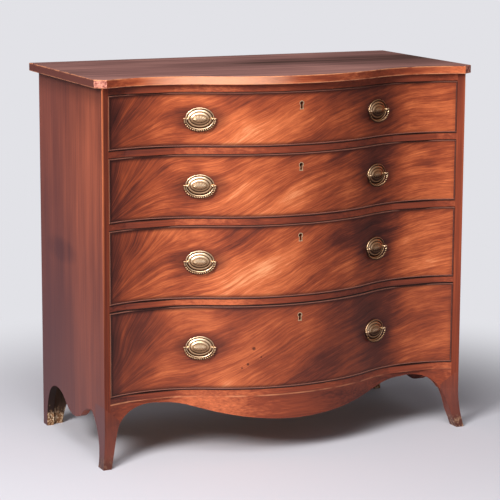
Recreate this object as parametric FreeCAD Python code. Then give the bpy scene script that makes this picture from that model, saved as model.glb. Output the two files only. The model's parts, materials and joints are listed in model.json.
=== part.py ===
import FreeCAD, Part
import math
import os

# Serpentine chest of four graduated drawers.
# Frame: +X to the viewer's right, +Y to the back, +Z up, origin under the middle of the top, on the floor.

# Driving dimensions, in millimetres

# Top board
top_width = 1016.0
top_depth = 552.0
top_thickness = 20.0
top_side_overhang = 18.0
top_front_overhang = 15.0
top_back_overhang = 22.0
corner_cant_width = 26.0
corner_cant_depth = 18.0
top_arris_radius = 1.5

# Serpentine front: a bow between two hollows
bow_rise = 90.0
hollow_offset = 360.0
hollow_radius = 300.0

# Heights
foot_height = 153.0
rail_thickness = 17.5
top_rail_thickness = 19.0
first_opening_height = 132.0
second_opening_height = 156.0
third_opening_height = 181.0
fourth_opening_height = 209.0

# Carcass boards
side_thickness = 18.0
back_thickness = 10.0
back_rebate = 9.0
back_board_count = 5
back_board_gap = 0.4
rail_depth_at_hollow = 45.0
back_rail_depth = 60.0
tenon_length = 6.0
tenon_setback = 15.0
runner_width = 22.0
dust_board_thickness = 8.0
dust_board_tongue = 5.0
stop_depth = 12.0
stop_height = 14.0

# Lower edge of the sides, measured down from the bottom rail
side_band = 30.0
side_drop = 74.0
side_drop_setback = 236.0
side_arch_offset = 125.0
rear_leg_width = 29.0
rear_flank_power = 2.5

# Apron, measured down from the bottom rail
apron_thickness = 20.0
apron_band = 11.5
apron_drop = 62.5
apron_arch_offset = 335.0
apron_turn_share = 0.78

# Front feet
toe_inset = 28.5
toe_depth = 20.0
toe_side_splay = 10.0
toe_front_splay = 15.0
toe_inner_splay = 17.5
toe_turn = 0.9
foot_joint_drop = 53.0
foot_wall = 30.0
foot_flank_power = 3.1
foot_side_flank_power = 1.5
scarf_outer_drop = 5.0
scarf_inner_drop = 43.0

# Rear foot brackets and the blocks glued in the corners
bracket_thickness = 18.0
bracket_reach = 110.0
bracket_toe_width = 27.0
bracket_power = 1.4
block_width = 45.0
block_depth = 75.0
block_height = 12.0

# Drawers
drawer_side_gap = 1.0
drawer_top_gap = 1.5
front_bottom_gap = 0.8
front_thickness = 22.0
lining_thickness = 9.0
lining_drop = 3.0
back_lining_drop = 5.0
bottom_thickness = 6.0
bottom_height = 8.0
lining_groove = 4.0
front_groove = 5.0
dovetail_pitch = 40.0
dovetail_lap = 8.0
dovetail_tip_share = 0.72
dovetail_root_share = 0.5

# Cock-beads round each drawer front
bead_thickness = 3.0
bead_depth = 8.5
bead_projection = 2.0
bead_nose_bevel = 0.9

# Keyhole, escutcheon and lock
keyhole_drop = 30.0
escutcheon_radius = 6.3
escutcheon_tail = 15.0
escutcheon_tail_width = 10.0
escutcheon_neck_share = 0.5
escutcheon_wall = 1.6
escutcheon_depth = 4.0
escutcheon_stand = 0.4
lock_width = 64.0
lock_height = 46.0
lock_depth = 12.0
lock_stand = 2.0
bolt_width = 26.0
bolt_thickness = 5.0
bolt_height = 16.0
bolt_top_gap = 0.5
bolt_clearance = 0.3
mortise_clearance = 1.0
mortise_depth = 9.0

# Handles
handle_offset = 240.0
handle_lift = 2.0
plate_half_width = 35.5
plate_half_height = 27.3
plate_edge = 1.2
plate_bedding = 4.0
plate_seat_gap = 0.2
plate_rim_width = 3.6
plate_rim_height = 1.4
plate_rim_bevel = 1.2
boss_half_width = 24.0
boss_half_height = 16.0
boss_height = 4.0
post_offset = 30.3
post_radius = 2.2
post_ball_radius = 3.0
post_collar_radius = 3.6
pivot_height = 6.2
nut_width = 9.0
nut_thickness = 3.0
nut_bedding = 4.0
post_tail = 2.0
bail_half_width = 37.4
bail_drop = 28.3
bail_side_radius = 26.0
bail_radius = 2.6
bail_end_radius = 3.0
bail_pin_radius = 1.2
bail_pin_clearance = 0.06
bail_rim_clearance = 0.6

# Worked out from the driving dimensions
carcass_half = top_width / 2 - top_side_overhang
inner_half = carcass_half - side_thickness
drawer_half = inner_half - drawer_side_gap
top_front_y = -top_depth / 2
top_back_y = top_depth / 2
back_y = top_back_y - top_back_overhang
back_inner_y = back_y - back_thickness
apex_y = top_front_y + top_front_overhang
hollow_y = apex_y + bow_rise
bow_radius = (hollow_offset ** 2 + bow_rise ** 2) / (2 * bow_rise) - hollow_radius
bend_sine = hollow_offset / (bow_radius + hollow_radius)
bow_centre_y = apex_y + bow_radius
hollow_centre_y = hollow_y - hollow_radius
rail_back_y = hollow_y + rail_depth_at_hollow
drawer_back_y = back_inner_y - stop_depth
drawer_openings = (first_opening_height, second_opening_height, third_opening_height, fourth_opening_height)
drawer_count = len(drawer_openings)
top_underside = foot_height + sum(drawer_openings) + drawer_count * rail_thickness + top_rail_thickness
chest_height = top_underside + top_thickness
side_arch_height = foot_height - side_band
side_drop_height = foot_height - side_drop
apron_arch_height = foot_height - apron_band
apron_drop_height = foot_height - apron_drop
foot_joint_height = foot_height - foot_joint_drop
scarf_outer_height = foot_height - scarf_outer_drop
scarf_inner_height = foot_height - scarf_inner_drop


def vector(x, y, z):
    return FreeCAD.Vector(x, y, z)


def save(name, *shapes):
    """Write one node; several separate solids share it as a group."""
    solids = [solid for shape in shapes for solid in shape.Solids]
    group = solids[0] if len(solids) == 1 else Part.makeCompound(solids)
    group.exportStep("parts/" + name + ".step")


def mirrored(shape):
    return shape.mirror(vector(0, 0, 0), vector(1, 0, 0))


def box(low, high):
    return Part.makeBox(high[0] - low[0], high[1] - low[1], high[2] - low[2], vector(*low))


def lines(points):
    return [Part.LineSegment(start, end).toShape() for start, end in zip(points, points[1:])]


def curve(points):
    """One smooth edge through a few points."""
    spline = Part.BSplineCurve()
    spline.interpolate(points)
    return spline.toShape()


def prism(edges, sweep):
    return Part.Face(Part.Wire(edges)).extrude(sweep)


def superellipse(height_share, power):
    """Share of the reach that is left at a share of the height: 1 at the foot, 0 at the crown."""
    return (1 - height_share ** power) ** (1 / power)


# Front curve

def front_y(x, forward=0.0):
    """Depth of the front at x, on the curve moved outward by forward."""
    reach = abs(x)
    if reach <= (bow_radius + forward) * bend_sine:
        return bow_centre_y - math.sqrt((bow_radius + forward) ** 2 - reach ** 2)
    return hollow_centre_y + math.sqrt((hollow_radius - forward) ** 2 - (reach - hollow_offset) ** 2)


def front_angle(x):
    """Turn of the front in plan at x, in degrees."""
    if x <= bow_radius * bend_sine:
        return math.degrees(math.asin(x / bow_radius))
    return math.degrees(math.asin((hollow_offset - x) / hollow_radius))


def front_point(x, forward=0.0):
    return vector(x, front_y(x, forward), 0)


def front_arc(start, end, forward=0.0):
    middle = (start + end) / 2
    return Part.Arc(*[front_point(x, forward) for x in (start, middle, end)]).toShape()


def front_edges(reach, forward=0.0):
    """Three tangent arcs from the left hollow over the bow to the right hollow."""
    turn = (bow_radius + forward) * bend_sine
    stops = (-reach, -turn, turn, reach)
    return [front_arc(start, end, forward) for start, end in zip(stops, stops[1:])]


def plan_slab(reach, rear_y, low, high, forward=0.0):
    """Board with a serpentine front, straight ends and a straight back."""
    right = front_point(reach, forward)
    left = front_point(-reach, forward)
    outline = lines([right, vector(reach, rear_y, 0), vector(-reach, rear_y, 0), left])
    slab = prism(front_edges(reach, forward) + outline, vector(0, 0, high - low))
    slab.translate(vector(0, 0, low))
    return slab


def plan_strip(reach, outer, inner, low, high):
    """Bent strip between two curves parallel to the front."""
    ends = []
    for x in (-reach, reach):
        ends += lines([front_point(x, outer), front_point(x, inner)])
    edges = front_edges(reach, outer) + front_edges(reach, inner) + ends
    strip = prism(Part.__sortEdges__(edges), vector(0, 0, high - low))
    strip.translate(vector(0, 0, low))
    return strip


# Top board

def make_top():
    cant_start = top_width / 2 - corner_cant_width
    right = [
        front_point(cant_start, top_front_overhang),
        vector(top_width / 2, front_y(cant_start, top_front_overhang) + corner_cant_depth, 0),
        vector(top_width / 2, top_back_y, 0),
    ]
    left = [vector(-point.x, point.y, 0) for point in reversed(right)]
    edges = front_edges(cant_start, top_front_overhang) + lines(right + left)
    board = prism(edges, vector(0, 0, top_thickness))
    rims = [edge for edge in board.Edges if abs(edge.Vertexes[0].Z - edge.Vertexes[-1].Z) < top_thickness / 2]
    board = board.makeFillet(top_arris_radius, rims)
    board.translate(vector(0, 0, top_underside))
    return board


# Feet and apron

corner_y = front_y(carcass_half)
side_drop_y = back_y - side_drop_setback
apron_foot_reach = carcass_half - toe_inset - apron_arch_offset
foot_side_reach = side_drop_y - side_arch_offset - corner_y - toe_depth


def splay(height):
    """Share of the toe's splay at a height: 1 on the floor, 0 where the foot stands upright."""
    return max(0.0, 1 - height / foot_joint_height) ** 2


def foot_inner_x(height):
    """Inner edge of the front foot, which runs on into the arch of the apron."""
    share = superellipse(height / apron_arch_height, foot_flank_power)
    return apron_arch_offset + apron_foot_reach * share + toe_inner_splay * splay(height)


def foot_rear_y(height):
    """Rear edge of the front foot, which runs on into the front arch of the side."""
    share = superellipse(height / side_arch_height, foot_side_flank_power)
    return corner_y + toe_depth + foot_side_reach * (1 - share)


def foot_front_point(x, height):
    """Point of the foot's front, which leaves the front curve and turns square towards the floor."""
    turn = toe_turn * (1 - (height / foot_joint_height) ** 2)
    curved_y = front_y(x)
    return vector(x, curved_y + (corner_y - curved_y) * turn - toe_front_splay * splay(height), 0)


def foot_section(height):
    inner = foot_inner_x(height)
    outer = carcass_half + toe_side_splay * splay(height)
    rear = foot_rear_y(height)
    start, middle, end = [foot_front_point(x, height) for x in (inner, (inner + outer) / 2, outer)]
    edges = [Part.Arc(start, middle, end).toShape()]
    edges += lines([end, vector(outer, rear, 0), vector(inner, rear, 0), start])
    wire = Part.Wire(edges)
    wire.translate(vector(0, 0, height))
    return wire


def make_front_foot():
    """Right front foot: splayed toe, two walls that sweep into the arches, scarfed top."""
    stages = 6
    sections = [foot_section(foot_joint_height * stage / (stages - 1)) for stage in range(stages)]
    toe = Part.makeLoft(sections, True, False)
    post = Part.Face(sections[-1]).extrude(vector(0, 0, foot_height - foot_joint_height))
    inner = foot_inner_x(foot_joint_height)
    rise = (scarf_outer_height - scarf_inner_height) / (carcass_half - inner)
    scarf = [
        vector(inner, -top_depth, scarf_inner_height),
        vector(carcass_half + toe_side_splay, -top_depth, scarf_outer_height + rise * toe_side_splay),
        vector(carcass_half + toe_side_splay, -top_depth, chest_height),
        vector(inner, -top_depth, chest_height),
        vector(inner, -top_depth, scarf_inner_height),
    ]
    above_scarf = prism(lines(scarf), vector(0, 2 * top_depth, 0))
    pocket_low = (apron_arch_offset, corner_y + foot_wall, 0)
    pocket = box(pocket_low, (inner_half, back_y, foot_height - block_height))
    return toe.fuse(post).removeSplitter().cut([above_scarf, pocket])


def apron_edge(side):
    """Lower edge from the centre drop up to the arch and out to the foot, on one side."""
    turn_x = side * apron_arch_offset * apron_turn_share
    turn_z = apron_drop_height + (apron_arch_height - apron_drop_height) * apron_turn_share

    def swing(level_x, level_z):
        """Arc that leaves its level end flat and ends at the turn."""
        run = turn_x - level_x
        rise = turn_z - level_z
        radius = (run ** 2 + rise ** 2) / (2 * abs(rise))
        sag = radius - math.sqrt(radius ** 2 - (run / 2) ** 2)
        middle = vector(level_x + run / 2, 0, level_z + math.copysign(sag, rise))
        ends = (vector(level_x, 0, level_z), vector(turn_x, 0, turn_z))
        return Part.Arc(ends[0], middle, ends[1]).toShape()

    steps = 5
    flank = [vector(side * apron_arch_offset, 0, apron_arch_height)]
    for step in range(1, steps + 1):
        height = foot_joint_height + (apron_arch_height - foot_joint_height) * (1 - step / steps) ** 2
        flank.append(vector(side * foot_inner_x(height), 0, height))
    arcs = [swing(0.0, apron_drop_height), swing(side * apron_arch_offset, apron_arch_height)]
    return arcs + [curve(flank)], flank[-1]


def make_apron(foot):
    """Apron between the sides, with its ends resting on the scarfs of the feet."""
    edges = []
    ends = []
    for side in (-1, 1):
        run, end = apron_edge(side)
        edges += run
        ends.append(end)
    left = [ends[0], vector(-inner_half, 0, foot_joint_height), vector(-inner_half, 0, foot_height)]
    right = [vector(inner_half, 0, foot_height), vector(inner_half, 0, foot_joint_height), ends[1]]
    edges += lines(left + right)
    outline = prism(Part.__sortEdges__(edges), vector(0, 2 * top_depth, 0))
    outline.translate(vector(0, -top_depth, 0))
    strip = plan_strip(inner_half, 0.0, -apron_thickness, 0.0, foot_height)
    return strip.common(outline).cut(foot).cut(mirrored(foot))


def make_rear_bracket():
    """Right rear bracket: a board across the back of the foot, swept out at its top."""
    steps = 5
    sweep = []
    for step in range(steps + 1):
        height = foot_height * step / steps
        share = superellipse(height / foot_height, bracket_power)
        width = bracket_reach - (bracket_reach - bracket_toe_width) * share
        sweep.append(vector(inner_half - width, back_y - bracket_thickness, height))
    top_corner = vector(inner_half, back_y - bracket_thickness, foot_height)
    floor_corner = vector(inner_half, back_y - bracket_thickness, 0)
    edges = [curve(sweep)] + lines([sweep[-1], top_corner, floor_corner, sweep[0]])
    return prism(edges, vector(0, bracket_thickness, 0))


def make_foot_blocks(apron, foot):
    """Blocks in the right corners: one behind the apron and foot, one against the rear bracket."""
    low = foot_height - block_height
    behind_apron = plan_slab(inner_half, corner_y + block_depth, low, foot_height, -apron_thickness)
    corner = box((inner_half - block_width, top_front_y, low), (inner_half, back_y, foot_height))
    front = behind_apron.common(corner).cut(apron).cut(foot)
    rear_y = back_y - bracket_thickness
    rear = box((inner_half - block_width, rear_y - block_width, low), (inner_half, rear_y, foot_height))
    return [front, rear]


# Sides, back and rails

def side_swing(side):
    """Two equal arcs from the middle drop of the side up to one arch."""
    run = side * side_arch_offset
    rise = side_arch_height - side_drop_height
    radius = (run ** 2 + rise ** 2) / (4 * rise)
    sag = radius - math.sqrt(radius ** 2 - (run / 4) ** 2)
    drop = vector(0, side_drop_y, side_drop_height)
    turn = vector(0, side_drop_y + run / 2, side_drop_height + rise / 2)
    arch = vector(0, side_drop_y + run, side_arch_height)
    low_middle = vector(0, side_drop_y + run / 4, side_drop_height + sag)
    high_middle = vector(0, side_drop_y + run * 3 / 4, side_arch_height - sag)
    return [Part.Arc(drop, low_middle, turn).toShape(), Part.Arc(turn, high_middle, arch).toShape()]


def flank_heights(low, steps=6):
    """Heights down a flank, crowded towards the crown where it turns fastest."""
    return [low + (side_arch_height - low) * (1 - (step / steps) ** 2) for step in range(steps + 1)]


def make_side(foot, housed):
    """Right side board, with its lower edge, the housings of what enters it and the back rebate."""
    rear_reach = side_drop_setback - side_arch_offset - rear_leg_width
    rear_arch_y = side_drop_y + side_arch_offset
    rear = []
    for height in flank_heights(0.0):
        share = superellipse(height / side_arch_height, rear_flank_power)
        rear.append(vector(0, rear_arch_y + rear_reach * share, height))
    front = [vector(0, foot_rear_y(height), height) for height in flank_heights(foot_joint_height)]
    corners = [
        rear[-1],
        vector(0, back_y, 0),
        vector(0, back_y, top_underside),
        vector(0, top_front_y, top_underside),
        vector(0, top_front_y, foot_joint_height),
        front[-1],
    ]
    edges = side_swing(1) + side_swing(-1) + [curve(rear), curve(front)] + lines(corners)
    board = prism(Part.__sortEdges__(edges), vector(side_thickness, 0, 0))
    board.translate(vector(inner_half, 0, 0))
    board = board.common(plan_slab(carcass_half, back_y, 0.0, top_underside))
    rebate = box((inner_half, back_inner_y, foot_height), (inner_half + back_rebate, back_y, top_underside))
    return board.cut([foot, rebate] + housed)


def make_back_boards():
    reach = inner_half + back_rebate
    pitch = 2 * reach / back_board_count
    boards = []
    for index in range(back_board_count):
        left = -reach + index * pitch + back_board_gap / 2
        right = left + pitch - back_board_gap
        boards.append(box((left, back_inner_y, foot_height), (right, back_y, top_underside)))
    return boards


def make_rail(low, thickness):
    """Serpentine rail, with a tenon at each end that stops short of the front."""
    rail = plan_slab(inner_half, rail_back_y, low, low + thickness)
    tenon_front = front_y(inner_half) + tenon_setback
    tenon = box((0, tenon_front, low), (inner_half + tenon_length, rail_back_y, low + thickness))
    return rail.fuse(tenon).fuse(mirrored(tenon)).removeSplitter()


def make_dust_board(rail_low):
    reach = inner_half - runner_width + dust_board_tongue
    low = rail_low + (rail_thickness - dust_board_thickness) / 2
    front = rail_back_y - dust_board_tongue
    return box((-reach, front, low), (reach, back_inner_y, low + dust_board_thickness))


def side_strip(rear, low, high):
    """Right-hand strip along the inside of the carcass, behind the rails."""
    return box((inner_half - runner_width, rail_back_y, low), (inner_half, rear, high))


def make_stop(floor):
    """Right-hand block at the back of a bay, which the drawer side meets."""
    low = (inner_half - runner_width, drawer_back_y, floor)
    return box(low, (inner_half, back_inner_y, floor + stop_height))


# Drawer box

def front_sweep(section):
    """Sweep a section, drawn with -Y forward, along the front from side to side of the carcass."""
    up = vector(0, 0, 1)
    bend = math.degrees(math.asin(bend_sine))
    bow_centre = vector(0, bow_centre_y, 0)
    bow_start = section.translated(vector(0, apex_y, 0))
    bow_start.rotate(bow_centre, up, -bend)
    bow = bow_start.revolve(bow_centre, up, 2 * bend)
    hollow_centre = vector(hollow_offset, hollow_centre_y, 0)
    end_turn = math.degrees(math.asin((carcass_half - hollow_offset) / hollow_radius))
    hollow_start = section.translated(vector(hollow_offset, hollow_y, 0))
    hollow_start.rotate(hollow_centre, up, -end_turn)
    hollow = hollow_start.revolve(hollow_centre, up, end_turn + bend)
    return bow.fuse([hollow, mirrored(hollow)]).removeSplitter()


def bead_section(low):
    """Upright section of a level bead strip, with a bevelled nose."""
    front = -bead_projection
    shoulder = front + bead_nose_bevel
    back = front + bead_depth
    high = low + bead_thickness
    outline = [(front, low + bead_nose_bevel), (front, high - bead_nose_bevel), (shoulder, high)]
    outline += [(back, high), (back, low), (shoulder, low), outline[0]]
    return Part.Face(Part.Wire(lines([vector(0, y, z) for y, z in outline])))


def bead_ring(low, high):
    """Square-edged ring round a drawer front, which the four bead strips fill."""
    ring = plan_strip(drawer_half, bead_projection, bead_projection - bead_depth, low, high)
    reach = drawer_half - bead_thickness
    inside = box((-reach, top_front_y, low + bead_thickness), (reach, back_y, high - bead_thickness))
    return ring.cut(inside)


def make_beads(low, high):
    """Four strips round a drawer front: bottom, top, left and right."""
    size = bead_thickness
    between = box((-drawer_half, top_front_y, low), (drawer_half, back_y, high))
    level = [front_sweep(bead_section(start)).common(between) for start in (low, high - size)]
    end = box((drawer_half - size, top_front_y, low + size), (drawer_half, back_y, high - size))
    upright = bead_ring(low, high).common(end)
    nose_edges = []
    for edge in upright.Edges:
        gaps = [abs(corner.Y - front_y(corner.X, bead_projection)) for corner in edge.Vertexes]
        if max(gaps) < bead_nose_bevel and edge.Length > size + bead_nose_bevel:
            nose_edges.append(edge)
    upright = upright.makeChamfer(bead_nose_bevel, nose_edges)
    return level + [mirrored(upright), upright]


def make_side_lining(low, high):
    """Right drawer side, with dovetails that the front is cut to fit."""
    lining_inner = drawer_half - lining_thickness
    shoulder = front_y(drawer_half, -front_thickness)
    tip = front_y(lining_inner) + dovetail_lap
    count = max(2, round((high - low) / dovetail_pitch))
    pitch = (high - low) / count
    outline = [vector(0, drawer_back_y, low), vector(0, shoulder, low)]
    for index in range(count):
        centre = low + (index + 0.5) * pitch
        root = dovetail_root_share * pitch / 2
        spread = dovetail_tip_share * pitch / 2
        outline += [vector(0, shoulder, centre - root), vector(0, tip, centre - spread)]
        outline += [vector(0, tip, centre + spread), vector(0, shoulder, centre + root)]
    outline += [vector(0, shoulder, high), vector(0, drawer_back_y, high), vector(0, drawer_back_y, low)]
    lining = prism(lines(outline), vector(lining_thickness, 0, 0))
    lining.translate(vector(lining_inner, 0, 0))
    return lining


def make_bottom(floor):
    reach = drawer_half - lining_thickness + lining_groove
    low = floor + bottom_height
    return plan_slab(reach, drawer_back_y, low, low + bottom_thickness, front_groove - front_thickness)


def make_back_lining(floor, high):
    reach = drawer_half - lining_thickness
    low = (-reach, drawer_back_y - lining_thickness, floor + bottom_height + bottom_thickness)
    return box(low, (reach, drawer_back_y, high))


# Lock and escutcheon

def keyhole(height, inset, front, rear):
    """Keyhole-shaped prism: a round eye over a tail that widens downward."""
    radius = escutcheon_radius - inset
    eye = Part.makeCylinder(radius, rear - front, vector(0, front, height), vector(0, 1, 0))
    foot_z = height - escutcheon_tail + inset
    neck = radius * escutcheon_neck_share
    spread = escutcheon_tail_width / 2 - inset
    outline = [
        vector(-neck, front, height),
        vector(-spread, front, foot_z),
        vector(spread, front, foot_z),
        vector(neck, front, height),
        vector(-neck, front, height),
    ]
    return eye.fuse(prism(lines(outline), vector(0, rear - front, 0))).removeSplitter()


def make_escutcheon(height):
    front = apex_y - escutcheon_stand
    rear = apex_y + escutcheon_depth
    return keyhole(height, 0.0, front, rear).cut(keyhole(height, escutcheon_wall, front, rear))


def bolt_box(front_top, clearance, low, high):
    """Footprint of the lock bolt, widened by a clearance, between two heights below the front's top."""
    middle = apex_y + front_thickness - lock_depth / 2
    across = bolt_width / 2 + clearance
    along = bolt_thickness / 2 + clearance
    return box((-across, middle - along, front_top + low), (across, middle + along, front_top + high))


def lock_case(front_top):
    """Outside of the lock, let into the back of the drawer front."""
    rear = apex_y + front_thickness
    low = (-lock_width / 2, rear - lock_depth, front_top - lock_height)
    return box(low, (lock_width / 2, rear + lock_stand, front_top))


def make_lock(front_top, hole):
    """Lock case, open at the top for its bolt and pierced for the key as far as its back plate."""
    channel = bolt_box(front_top, bolt_clearance, -bolt_height - bolt_top_gap, lock_height)
    return lock_case(front_top).cut([channel, hole])


# Handles, made facing the viewer at the origin and then set on the front
# A plate rests with its ends on the curved front, so the handle stands on that chord.

plate_reach = plate_half_width * math.cos(math.radians(front_angle(handle_offset)))
plate_inner_end = front_point(handle_offset - plate_reach)
plate_outer_end = front_point(handle_offset + plate_reach)
handle_y = (plate_inner_end.y + plate_outer_end.y) / 2
handle_turn = math.atan2(plate_outer_end.y - plate_inner_end.y, 2 * plate_reach)
handle_hollow = (front_y(handle_offset) - handle_y) * math.cos(handle_turn)
front_back = front_thickness + handle_hollow


def set_on_front(shape, side, height):
    placed = shape.copy()
    placed.rotate(vector(0, 0, 0), vector(0, 0, 1), side * math.degrees(handle_turn))
    placed.translate(vector(side * handle_offset, handle_y, height))
    return placed


def oval(half_width, half_height, stand):
    """Level oval outline standing in front of the drawer face."""
    centre = vector(0, -stand, 0)
    ellipse = Part.Ellipse(vector(half_width, -stand, 0), vector(0, -stand, half_height), centre)
    return Part.Wire(ellipse.toShape())


def oval_loft(stages):
    return Part.makeLoft([oval(*stage) for stage in stages], True, True)


def make_plate():
    """Oval plate: flat bed, raised rim and a domed boss."""
    wide = plate_half_width
    tall = plate_half_height
    crest = plate_edge + plate_rim_height
    bed = oval_loft([(wide, tall, -plate_bedding), (wide, tall, plate_edge)])
    slope = plate_rim_bevel
    rim = oval_loft([(wide, tall, plate_edge), (wide - slope, tall - slope, crest)])
    inset = plate_rim_width
    hollow = oval_loft([
        (wide - inset, tall - inset, plate_edge),
        (wide - inset + slope, tall - inset + slope, crest),
    ])
    boss_stages = []
    for share, rise in ((1.0, 0.0), (0.9, 0.45), (0.55, 0.88), (0.2, 1.0)):
        stage = (boss_half_width * share, boss_half_height * share, plate_edge + boss_height * rise)
        boss_stages.append(stage)
    return bed.fuse([rim.cut(hollow), oval_loft(boss_stages)]).removeSplitter()


def post_shape(side):
    """Post with a collar on the plate, a pierced ball for the bail and a stem through the front."""
    x = side * post_offset
    rear = front_back + nut_thickness + post_tail
    outward = vector(0, -1, 0)
    stem = Part.makeCylinder(post_radius, rear + pivot_height, vector(x, rear, 0), outward)
    collar = Part.makeCone(post_collar_radius, post_radius, pivot_height, vector(x, 0, 0), outward)
    ball = Part.makeSphere(post_ball_radius, vector(x, -pivot_height, 0))
    bore_length = 4 * post_ball_radius
    bore_start = vector(x - bore_length / 2, -pivot_height, 0)
    bore = Part.makeCylinder(bail_pin_radius + bail_pin_clearance, bore_length, bore_start, vector(1, 0, 0))
    return stem.fuse([collar, ball]).cut(bore)


def nut_shape(side):
    x = side * post_offset
    low = (x - nut_width / 2, front_back - nut_bedding, -nut_width / 2)
    return box(low, (x + nut_width / 2, front_back + nut_thickness, nut_width / 2))


def make_bail():
    """Bail of three tangent arcs, with its pins in the posts, hanging over the rim of the plate."""
    shoulder = bail_half_width - bail_side_radius
    spread = shoulder ** 2 + bail_drop ** 2 - bail_side_radius ** 2
    low_radius = spread / (2 * (bail_drop - bail_side_radius))
    low_centre = bail_drop - low_radius
    turn = math.atan2(shoulder, -low_centre)
    turn_x = low_radius * math.sin(turn)
    turn_z = -low_centre - low_radius * math.cos(turn)
    half = (math.pi / 2 - turn) / 2

    def side_arc(side):
        middle_x = shoulder + bail_side_radius * math.cos(half)
        points = [(bail_half_width, 0), (middle_x, -bail_side_radius * math.sin(half)), (turn_x, turn_z)]
        return Part.Arc(*[vector(side * x, 0, z) for x, z in points]).toShape()

    low_points = [(-turn_x, turn_z), (0, -bail_drop), (turn_x, turn_z)]
    low_arc = Part.Arc(*[vector(x, 0, z) for x, z in low_points]).toShape()
    path = Part.Wire(Part.__sortEdges__([side_arc(-1), low_arc, side_arc(1)]))
    start = vector(-bail_half_width, 0, 0)
    section = Part.Wire(Part.makeCircle(bail_radius, start, vector(0, 0, 1)))
    bow = path.makePipeShell([section], True, False)
    pin_length = bail_half_width - post_offset + post_ball_radius / 2
    extras = []
    for side in (-1, 1):
        end = vector(side * bail_half_width, 0, 0)
        extras.append(Part.makeSphere(bail_end_radius, end))
        extras.append(Part.makeCylinder(bail_pin_radius, pin_length, end, vector(-side, 0, 0)))
    bail = bow.fuse(extras)
    rest_height = plate_edge + plate_rim_height + bail_rim_clearance + bail_radius
    fall = pivot_height - rest_height
    bail.rotate(vector(0, 0, 0), vector(1, 0, 0), math.degrees(math.asin(fall / bail_drop)))
    bail.translate(vector(0, -pivot_height, 0))
    return bail


# Drawers

plate = make_plate()
posts = [post_shape(side) for side in (-1, 1)]
nuts = [nut_shape(side) for side in (-1, 1)]
bail = make_bail()


def make_drawer(name, floor, opening):
    """Build and save one drawer; give back the mortise that its lock bolt needs in the rail above."""
    low = floor + front_bottom_gap
    high = floor + opening - drawer_top_gap
    key_height = floor + opening - keyhole_drop
    handle_height = floor + opening / 2 + handle_lift

    beads = make_beads(low, high)
    lining = make_side_lining(floor, high - lining_drop)
    bottom = make_bottom(floor)
    linings = [part.cut(bottom) for part in (mirrored(lining), lining)]
    back_lining = make_back_lining(floor, high - back_lining_drop)
    hole = keyhole(key_height, escutcheon_wall, apex_y - escutcheon_stand, apex_y + front_thickness)
    socket = keyhole(key_height, 0.0, apex_y - escutcheon_stand, apex_y + escutcheon_depth)
    placed_posts = [set_on_front(post, side, handle_height) for side in (-1, 1) for post in posts]

    front = plan_strip(drawer_half, 0.0, -front_thickness, low, high)
    front = front.cut(linings + [bead_ring(low, high), bottom, lock_case(high), hole, socket] + placed_posts)
    placed_plates = [set_on_front(plate, side, handle_height) for side in (-1, 1)]
    plate_seat = plan_strip(drawer_half, plate_seat_gap, -front_thickness, low, high)
    placed_plates = [part.cut([plate_seat] + placed_posts) for part in placed_plates]
    placed_nuts = [set_on_front(nut, side, handle_height) for side in (-1, 1) for nut in nuts]
    placed_nuts = [part.cut([front] + placed_posts) for part in placed_nuts]

    save(name + "_front", front)
    save(name + "_cock_beads", *beads)
    save(name + "_linings", *linings, back_lining)
    save(name + "_bottom", bottom)
    save(name + "_lock", make_lock(high, hole))
    save(name + "_lock_bolt", bolt_box(high, 0.0, -bolt_height - bolt_top_gap, -bolt_top_gap))
    save(name + "_escutcheon", make_escutcheon(key_height))
    save(name + "_handle_plates", *placed_plates)
    save(name + "_handle_posts", *placed_posts, *placed_nuts)
    save(name + "_left_bail", set_on_front(bail, -1, handle_height))
    save(name + "_right_bail", set_on_front(bail, 1, handle_height))
    return bolt_box(high, mortise_clearance, drawer_top_gap, drawer_top_gap + mortise_depth)


def main():
    os.makedirs("parts", exist_ok=True)
    floors = []
    level = top_underside - top_rail_thickness
    for opening in drawer_openings:
        floors.append(level - opening)
        level = floors[-1] - rail_thickness

    mortises = []
    for index, (floor, opening) in enumerate(zip(floors, drawer_openings)):
        mortises.append(make_drawer(f"drawer_{index + 1}", floor, opening))

    rail_lows = [floor - rail_thickness for floor in floors]
    dust_boards = [make_dust_board(low) for low in rail_lows]
    front_top_rail = make_rail(top_underside - top_rail_thickness, top_rail_thickness).cut(mortises[0])
    back_rail_front = back_inner_y - back_rail_depth
    back_top_rail = box(
        (-inner_half, back_rail_front, top_underside - top_rail_thickness),
        (inner_half, back_inner_y, top_underside),
    )
    kicker = side_strip(back_rail_front, top_underside - top_rail_thickness, top_underside)
    rails = []
    runners = []
    stops = []
    for low, floor, dust_board in zip(rail_lows, floors, dust_boards):
        rails.append(make_rail(low, rail_thickness).cut([dust_board] + mortises))
        runner = side_strip(back_inner_y, low, floor).cut(dust_board)
        runners += [mirrored(runner), runner]
        stop = make_stop(floor)
        stops += [mirrored(stop), stop]

    foot = make_front_foot()
    apron = make_apron(foot)
    side = make_side(foot, rails + [front_top_rail])
    blocks = make_foot_blocks(apron, foot)
    bracket = make_rear_bracket()

    save("top_board", make_top())
    save("left_side", mirrored(side))
    save("right_side", side)
    save("back_boards", *make_back_boards())
    save("top_rails", front_top_rail, back_top_rail)
    save("drawer_dividers", *rails[:-1])
    save("bottom_rail", rails[-1])
    save("dust_boards", *dust_boards)
    save("drawer_runners", *runners)
    save("drawer_kickers", mirrored(kicker), kicker)
    save("drawer_stops", *stops)
    save("apron", apron)
    save("left_front_foot", mirrored(foot))
    save("right_front_foot", foot)
    save("rear_foot_brackets", mirrored(bracket), bracket)
    save("foot_blocks", *[mirrored(block) for block in blocks], *blocks)


main()
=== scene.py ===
import json
import math

import bpy
from mathutils import Matrix, Vector


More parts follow.
